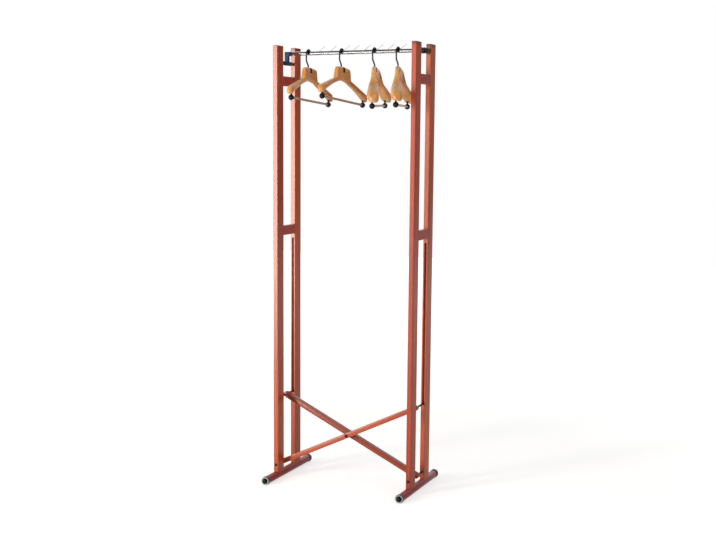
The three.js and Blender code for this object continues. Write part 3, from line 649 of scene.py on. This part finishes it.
# Cradle bar: a round bar with a slotted block in its middle
slot_bottom = TUBE_Z - TUBE_RADIUS - CRADLE_GAP
round_bar = rounded_rod(CRADLE_RADIUS, POST_FACE_Y, CRADLE_EDGE)
cradle = turned("cradle_fine", round_bar, Y, ROD_SIDES, at(right, 0, TUBE_Z))
cheeks = block(
    "cheeks",
    (right - CRADLE_BLOCK_X, -CRADLE_BLOCK, slot_bottom - CRADLE_FLOOR),
    (right + CRADLE_BLOCK_X, CRADLE_BLOCK, TUBE_Z + CRADLE_RADIUS),
)
combine(cradle, cheeks, "UNION")
slot = block(
    "slot",
    (right - CRADLE_SLOT_X, -CRADLE_SLOT, slot_bottom),
    (right + CRADLE_SLOT_X, CRADLE_SLOT, TUBE_Z + 2 * CRADLE_RADIUS),
)
combine(cradle, slot, "DIFFERENCE")
finish_piece(cradle, black_plastic, "right_frame", ["cradle_bar"])


# Scissor brace
def arm_mesh(name, front, back, matrix):
    """A flat board with round ends, from front to back along Y, with rounded edges."""
    half = math.hypot(FRAME_SPACING, BRACE_HIGH_Z - BRACE_LOW_Z) / 2
    inset = [(ARM_ROUNDING * (1 - math.sin(a)), ARM_ROUNDING * (1 - math.cos(a))) for a in EDGE_ANGLES]
    stations = [(front + depth, drop) for drop, depth in inset]
    stations += [(back - depth, drop) for drop, depth in reversed(inset)]
    rings = []
    for y, drop in stations:
        radius = ARM_WIDTH / 2 - drop
        ring = []
        for middle, start in ((half, -90), (-half, 90)):
            for step in range(ARM_END_STEPS + 1):
                angle = math.radians(start + 180 * step / ARM_END_STEPS)
                ring.append((middle + radius * math.cos(angle), y, radius * math.sin(angle)))
        rings.append(ring)
    return mesh_object(name, *skin(rings), matrix)


slope = math.atan2(BRACE_HIGH_Z - BRACE_LOW_Z, FRAME_SPACING)
cross = at(0, 0, (BRACE_LOW_Z + BRACE_HIGH_Z) / 2)
for label, depths, turn, place in (
    ("b", ARM_B_Y, -slope, (0.1, 0.3, 0.2)), ("a", ARM_A_Y, slope, (0.5, 0.1, 0.7)),
):
    arm = arm_mesh(f"arm_{label}_rounded", *depths, cross @ Matrix.Rotation(turn, 4, "Y"))
    arm_wood = wood(f"arm_{label}_wood", "arm", X, place)
    finish_piece(arm, arm_wood, f"brace_{label}", [f"arm_{label}"])
for label, x in (("b", right), ("a", left)):
    pin = turned(
        f"pin_{label}_turned", rounded_rod(PIN_RADIUS, PIN_END_Y), Y, BOLT_SIDES, at(x, 0, BRACE_HIGH_Z)
    )
    finish_piece(pin, dark_steel, f"brace_{label}", [f"upper_pin_{label}"])
front = ARM_B_Y[0]
bolt_profile = socket_head(front, **CROSS_HEAD)
bolt_profile += [(PIN_RADIUS, front), (PIN_RADIUS, CROSS_BOLT_END_Y), (CAP_RADIUS, CROSS_BOLT_END_Y)]
low, high = NUT_Y
nut_profile = [
    (CAP_RADIUS, low), (NUT_RADIUS - NUT_EDGE, low), (NUT_RADIUS, low + NUT_EDGE),
    (NUT_RADIUS, high - NUT_EDGE), (NUT_RADIUS - NUT_EDGE, high), (CAP_RADIUS, high),
]
low, high = WASHER_Y
washer_profile = [(CAP_RADIUS, low), (WASHER_RADIUS, low), (WASHER_RADIUS, high), (CAP_RADIUS, high)]
for name, profile, sides in (
    ("cross_bolt", bolt_profile, BOLT_SIDES),
    ("cross_nut", nut_profile, NUT_SIDES),
    ("cross_washer", washer_profile, ROUND_SIDES),
):
    piece = turned(f"{name}_turned", profile, Y, sides, cross)
    finish_piece(piece, dark_steel, "brace_b", [name])

# Hanging tube
low, high = TUBE_X
profile = [(TUBE_BORE, low), (TUBE_RADIUS, low), (TUBE_RADIUS, high), (TUBE_BORE, high)]
tube = turned("tube_turned", profile, X, ROD_SIDES, at(0, 0, TUBE_Z))
finish_piece(tube, tube_steel, "rail", ["hanging_tube"])
profile = [
    (CAP_RADIUS, high - PLUG_DEPTH), (PLUG_RADIUS, high - PLUG_DEPTH), (PLUG_RADIUS, high),
    (TUBE_RADIUS - 0.4, high), (TUBE_RADIUS, high + 0.4), (TUBE_RADIUS, high + PLUG_LIP - 0.8),
    (TUBE_RADIUS - 0.7, high + PLUG_LIP - 0.1), (CAP_RADIUS, high + PLUG_LIP),
]
end_plug = turned("plug_turned", profile, X, ROUND_SIDES, at(0, 0, TUBE_Z))
finish_piece(end_plug, black_plastic, "rail", ["tube_end_plug"])
outline = [
    (left - ELBOW_HALF, AXLE_Z - ELBOW_HALF), (left + ELBOW_HALF, AXLE_Z - ELBOW_HALF),
    (left + ELBOW_HALF, TUBE_Z - ELBOW_HALF), (left + ELBOW_REACH, TUBE_Z - ELBOW_HALF),
    (left + ELBOW_REACH, TUBE_Z + ELBOW_HALF), (left - ELBOW_HALF, TUBE_Z + ELBOW_HALF),
]
elbow = extruded("elbow_block", outline, ELBOW_HALF, ELBOW_EDGE)
finish_piece(elbow, slate_plastic, "rail", ["rail_elbow"])
hub_profile = rounded_rod(HUB_RADIUS, HUB_REACH, HUB_EDGE)
hub = turned("elbow_hub", hub_profile, Y, ROUND_SIDES, at(left, 0, AXLE_Z))
finish_piece(hub, slate_plastic, "rail")

# Divider wires on the tube
for number, x in enumerate(DIVIDERS_X, 1):
    corners = [(x + along, 0, TUBE_Z + TUBE_RADIUS + rise) for along, rise in DIVIDER_PATH]
    path = rounded_path(corners, DIVIDER_BEND, DIVIDER_BEND_STEPS)
    wire = swept(f"divider_{number}", path, DIVIDER_RADIUS, DIVIDER_SIDES)
    finish_piece(wire, divider_steel, "rail")


# Hangers
def mix(start, end, share):
    return start + (end - start) * share


def clamp(value):
    return min(1, max(0, value))


def eased(value):
    return clamp(value) ** 2 * (3 - 2 * clamp(value))


def yoke_section(kind, y):
    """Top, bottom, thickness at both, forward place and lean of the wooden body at y."""
    reach = abs(y)
    along = clamp((reach - BLOCK_HALF) / (HANGER_HALF - BLOCK_HALF))
    taper = math.sqrt(1 - clamp((reach - HANGER_HALF + kind["rounding"]) / kind["rounding"]) ** 2)
    arm_top = -mix(kind["root"], kind["top"], along ** TOP_CURVE)
    arm_bottom = -mix(BLOCK_HEIGHT, kind["bottom"], (reach / HANGER_HALF) ** BOTTOM_CURVE)
    middle, half_height = (arm_top + arm_bottom) / 2, (arm_top - arm_bottom) / 2 * taper
    in_block = 1 - eased((reach - BLOCK_HALF) / kind["flank"])
    crown = -kind["crown"] * (reach / BLOCK_HALF) ** 2
    lower = mix(BLOCK_THICKNESS, kind["thickness"], along ** kind["thickness_curve"])
    upper = mix(lower, NECK_THICKNESS, in_block)
    forward = mix(kind["block"], kind["forward"], (reach / HANGER_HALF) ** FORWARD_CURVE)
    top = mix(middle + half_height, crown, in_block)
    return top, middle - half_height, lower * taper, upper * taper, forward, kind["lean"] * along * taper


def squared(value):
    """A cosine or sine pulled outwards, which squares off a round section."""
    return math.copysign(abs(value) ** SECTION_CURVE, value)


def body_mesh(name, kind, matrix):
    start = HANGER_HALF - kind["rounding"]
    flank_end = BLOCK_HALF + kind["flank"]
    reaches = [BLOCK_HALF * share for share in BLOCK_SHARES]
    reaches += [mix(BLOCK_HALF, flank_end, step / FLANK_STEPS) for step in range(FLANK_STEPS + 1)]
    reaches += [mix(flank_end, start, step / ARM_STEPS) for step in range(1, ARM_STEPS + 1)]
    tip_shares = [math.sin(math.pi / 2 * step / TIP_STEPS) for step in range(1, TIP_STEPS)]
    reaches += [mix(start, HANGER_HALF, share) for share in tip_shares]
    reaches.append(HANGER_HALF - TIP_CUT)
    rings = []
    for y in [-reach for reach in reversed(reaches[1:])] + reaches:
        top, bottom, lower, upper, forward, lean = yoke_section(kind, y)
        ring = []
        for side in range(SECTION_SIDES):
            angle = 2 * math.pi * (side + 0.5) / SECTION_SIDES
            across = squared(math.cos(angle))
            up = (squared(math.sin(angle)) + 1) / 2
            x = forward + lower / 2 - mix(lower, upper, up) * (1 - across) / 2
            ring.append((x, y, mix(bottom, top, up) - lean * across))
        rings.append(ring)
    return mesh_object(name, *skin(rings), matrix)


def clip_mesh(name, matrix):
    """The saddle: a rounded strip bent round the tube's top."""
    half, inner, outer, edge = SADDLE_HALF, SADDLE_INNER, SADDLE_OUTER, SADDLE_EDGE
    section = [
        (-half, inner + edge), (-half + edge, inner), (half - edge, inner), (half, inner + edge),
        (half, outer - edge), (half - edge, outer), (-half + edge, outer), (-half, outer - edge),
    ]
    rings = []
    for step in range(SADDLE_STEPS + 1):
        angle = math.radians(-SADDLE_ANGLE + 2 * SADDLE_ANGLE * step / SADDLE_STEPS)
        rings.append([(x, radius * math.sin(angle), radius * math.cos(angle)) for x, radius in section])
    return mesh_object(name, *skin(rings), matrix)


def hook_points():
    """The loop from its open end over the tube, then the shank down to the body."""
    loop = []
    for step in range(HOOK_STEPS + 1):
        angle = math.radians(HOOK_OPENING + (180 - HOOK_OPENING) * step / HOOK_STEPS)
        loop.append(Vector((0, HOOK_LOOP * math.cos(angle), HOOK_LOOP * math.sin(angle))))
    corners = [(0, -HOOK_LOOP, 0), (0, -HOOK_LOOP, -HOOK_STRAIGHT), (0, 0, -HOOK_CROSSED), (0, 0, -HOOK_END)]
    return loop + rounded_path(corners, HOOK_BEND, HOOK_BEND_STEPS)[1:]


def cut_notch(yoke, face, matrix):
    """Cuts the notch into the middle of the block's right face; its faces get painted shade afterwards."""
    low = (face - NOTCH_DEPTH, -NOTCH_HALF, -NOTCH_HEIGHT)
    notch = block("notch", low, (face + NOTCH_OVERRUN, NOTCH_HALF, NOTCH_OVERRUN))
    notch.matrix_world = matrix
    combine(yoke, notch, "DIFFERENCE")


def paint_notch_shade(yoke, face):
    """Gives the notch's own faces a dark wood tone, which is painted shade for the recess."""
    yoke.data.materials.append(notch_shade_paint)
    margin, largest = 0.1, 2 * NOTCH_HALF * NOTCH_HEIGHT * MM ** 2
    for polygon in yoke.data.polygons:
        place = polygon.center / MM
        deep = face - NOTCH_DEPTH - margin < place.x < face - 2 * margin
        beside = abs(place.y) < NOTCH_HALF + margin and place.z > -NOTCH_HEIGHT - margin
        if deep and beside and polygon.area < largest:
            polygon.material_index = NOTCH_SHADE_INDEX


def ball_profile(stem):
    """A ball with a neck that runs up to the height of its stem."""
    neck = math.asin(BALL_NECK / BALL_RADIUS)
    angles = [math.pi * step / BALL_STEPS for step in range(BALL_STEPS)]
    angles = [angle for angle in angles if angle < math.pi - neck]
    profile = [(max(BALL_RADIUS * math.sin(a), CAP_RADIUS), -BALL_RADIUS * math.cos(a)) for a in angles]
    return profile + [(BALL_NECK, BALL_RADIUS * math.cos(neck)), (BALL_NECK, stem), (CAP_RADIUS, stem)]


for number, kind, share, swivel, tilt in HANGERS:
    name = f"hanger_{number}"
    stand = at(FRAME_SPACING * (share - 0.5), 0, TUBE_Z)
    lean = stand @ at(0, 0, HOOK_TOP - HOOK_LOOP) @ Matrix.Rotation(-math.radians(tilt), 4, "X")
    turn = lean @ at(0, 0, -HOOK_DROP) @ Matrix.Rotation(math.radians(swivel), 4, "Z")
    clip = clip_mesh(f"{name}_clip", stand)
    finish_piece(clip, black_plastic, f"saddle_{number}", [f"{name}_saddle"])
    wire = swept(f"{name}_wire", hook_points(), HOOK_WIRE, HOOK_SIDES, lean)
    finish_piece(wire, wire_steel, f"hook_{number}", [f"{name}_hook"])
    yoke = body_mesh(f"{name}_yoke", kind, turn)
    face = kind["block"] + BLOCK_THICKNESS / 2
    cut_notch(yoke, face, turn)
    pale = wood(f"{name}_wood", "pale", Y, (0.37 * number, 0.2, 0.11 * number), grain=PALE_GRAIN)
    finish_piece(yoke, pale, name, [f"{name}_body"], sharp=YOKE_SHARP_ANGLE)
    # The notch's faces get painted shade
    paint_notch_shade(yoke, face)
    _, bottom, _, _, forward, _ = yoke_section(kind, BALL_Y)
    forward -= kind["ball_back"]
    bar_z = bottom - BALL_GAP - BALL_RADIUS
    rod_place = turn @ at(forward, 0, bar_z)
    rod = turned(f"{name}_rod", rounded_rod(BAR_RADIUS, BAR_HALF), Y, BAR_SIDES, rod_place)
    bar_wood = wood(f"{name}_bar_wood", "pink_bar" if kind is WIDE else "bar", Y, (0.2, 0, 0.4))
    finish_piece(rod, bar_wood, name, [f"{name}_bar"])
    for end, sign in ENDS.items():
        profile = ball_profile(bottom + BALL_STEM_EMBED - bar_z)
        place = turn @ at(forward, sign * BALL_Y, bar_z)
        ball = turned(f"{name}_{end}_ball_turned", profile, Z, BALL_SIDES, place)
        finish_piece(ball, black_plastic, name, [f"{name}_{end}_ball"])

# Camera at the photograph's place, in metres and degrees
CAMERA_PLACE = (1.8933, -4.3838, 1.3886)
CAMERA_YAW, CAMERA_PITCH, CAMERA_ROLL = 24.452, 8.186, 0.239
CAMERA_LENS, CAMERA_SENSOR = 60.37, 36
CAMERA_SHIFT = (0.0401, 0.0578)
CAMERA_FAR = 60

yaw, pitch, roll = (math.radians(angle) for angle in (CAMERA_YAW, CAMERA_PITCH, CAMERA_ROLL))
forward = Vector((-math.sin(yaw) * math.cos(pitch), math.cos(yaw) * math.cos(pitch), -math.sin(pitch)))
level = Vector((math.cos(yaw), math.sin(yaw), 0))
up = level.cross(forward)
across = math.cos(roll) * level + math.sin(roll) * up
above = math.cos(roll) * up - math.sin(roll) * level
camera = bpy.data.objects.new("camera", bpy.data.cameras.new("camera"))
bpy.context.scene.collection.objects.link(camera)
camera.data.lens = CAMERA_LENS
camera.data.sensor_width = CAMERA_SENSOR
camera.data.shift_x, camera.data.shift_y = CAMERA_SHIFT
camera.data.clip_end = CAMERA_FAR
facing = Matrix((across, above, -forward)).transposed().to_4x4()
camera.matrix_world = Matrix.Translation(CAMERA_PLACE) @ facing
bpy.context.scene.camera = camera
bpy.context.scene.view_settings.view_transform = "Standard"

# Floor: kinds of ray, and how it glows for them from near the object to far off, in metres
FLOOR_HALF = 9000
FLOOR_GLOW = (("Is Camera Ray", 1.2, 5, 0.62, 1), ("Is Glossy Ray", 2, 6, 0.15, 0.5))
FLOOR_ROUGHNESS = 0.9

corners = [(x * FLOOR_HALF, y * FLOOR_HALF, 0) for x, y in ((-1, -1), (1, -1), (1, 1), (-1, 1))]
floor = mesh_object("floor", corners, [(0, 1, 2, 3)])
ground = Shader("floor_paint")
rays = ground.add("ShaderNodeLightPath")
speckle = ground.noise(ground.coordinates(), SPECKLE_SCALE, detail=2)
pale_grey = ground.ramp(speckle, [(0, srgb(232, 232, 232)), (1, srgb(238, 238, 238))])
ground.paint(pale_grey, FLOOR_ROUGHNESS)
distance = ground.add("ShaderNodeVectorMath", {0: ground.coordinates()}, operation="LENGTH")
glows = []
for ray, start, end, near, far in FLOOR_GLOW:
    rise = ground.ranged(distance.outputs["Value"], start, end, near, far)
    glows.append(ground.maths("MULTIPLY", rise, rays.outputs[ray]))
glow = ground.add("ShaderNodeEmission", {"Strength": ground.maths("MAXIMUM", *glows)})
both = ground.add("ShaderNodeAddShader", {0: ground.surface.outputs["BSDF"], 1: glow.outputs["Emission"]})
ground.feed(ground.tree.nodes["Material Output"].inputs["Surface"], both.outputs["Shader"])
floor.data.materials.append(ground.material)

# Soft room light, white where the camera looks; ranges are parts of a ray's direction
ROOM_LEVEL = 0.31
CEILING_Z = (0.2, 0.4)
CEILING_Y = (0.3, 0.05)
CEILING_DARKNESS = 0.97
WALL_X = (0.1, 0.35)
WALL_Z = (0.5, 0.3)
WALL_DARKNESS = 0.92

world = bpy.data.worlds.new("studio")
bpy.context.scene.world = world
world.use_nodes = True
room = Nodes(world.node_tree)
background = room.tree.nodes["Background"]
rays = room.add("ShaderNodeLightPath").outputs
room_x, room_y, room_z = (room.along("Generated", axis) for axis in (X, Y, Z))

# Mirrors see a dark ceiling over the photographer and a dim wall to the right
ceiling = room.maths("MULTIPLY", room.ranged(room_z, *CEILING_Z), room.ranged(room_y, *CEILING_Y))
wall = room.maths("MULTIPLY", room.ranged(room_x, *WALL_X), room.ranged(room_z, *WALL_Z))
under_ceiling = room.maths("SUBTRACT", 1.0, room.maths("MULTIPLY", ceiling, CEILING_DARKNESS))
before_wall = room.maths("SUBTRACT", 1.0, room.maths("MULTIPLY", wall, WALL_DARKNESS))
mirrored = room.maths("MULTIPLY", under_ceiling, before_wall)
brightness = room.switched(rays["Is Glossy Ray"], mirrored, ROOM_LEVEL)
brightness = room.switched(rays["Is Transmission Ray"], 1.0, brightness)
brightness = room.switched(rays["Is Camera Ray"], 1.0, brightness)
room.feed(background.inputs["Strength"], brightness)
background.inputs["Color"].default_value = (1, 1, 1, 1)


def area_light(name, place, target, size, power, color):
    """A rectangular lamp at place, in metres, that faces target; power is in watts."""
    lamp = bpy.data.lights.new(name, "AREA")
    lamp.shape = "RECTANGLE"
    lamp.size, lamp.size_y = size
    lamp.energy = power
    lamp.color = color
    obj = bpy.data.objects.new(name, lamp)
    bpy.context.scene.collection.objects.link(obj)
    obj.location = place
    obj.rotation_mode = "QUATERNION"
    obj.rotation_quaternion = (Vector(target) - Vector(place)).to_track_quat("-Z", "Y")
    return obj


# The key leaves the bright tube alone, which would only show its glare
key = area_light(
    "key", place=(-2.45, -3.95, 1.2), target=(0, 0, 1), size=(0.9, 2.4), power=162, color=(1, 0.95, 0.86)
)
no_glare = bpy.data.collections.new("no_glare")
no_glare.objects.link(tube)
key.light_linking.receiver_collection = no_glare
no_glare.collection_objects[0].light_linking.link_state = "EXCLUDE"
area_light(
    "fill", place=(3.4, -2.6, 1.8), target=(0, 0, 0.9), size=(2.6, 2.6), power=19, color=(1, 0.97, 0.92)
)
top_light = area_light(
    "top", place=(-0.6, -1.3, 4.2), target=(0, 0, 1), size=(2.4, 2.4), power=6, color=(1, 0.99, 0.97)
)
top_light.visible_glossy = False
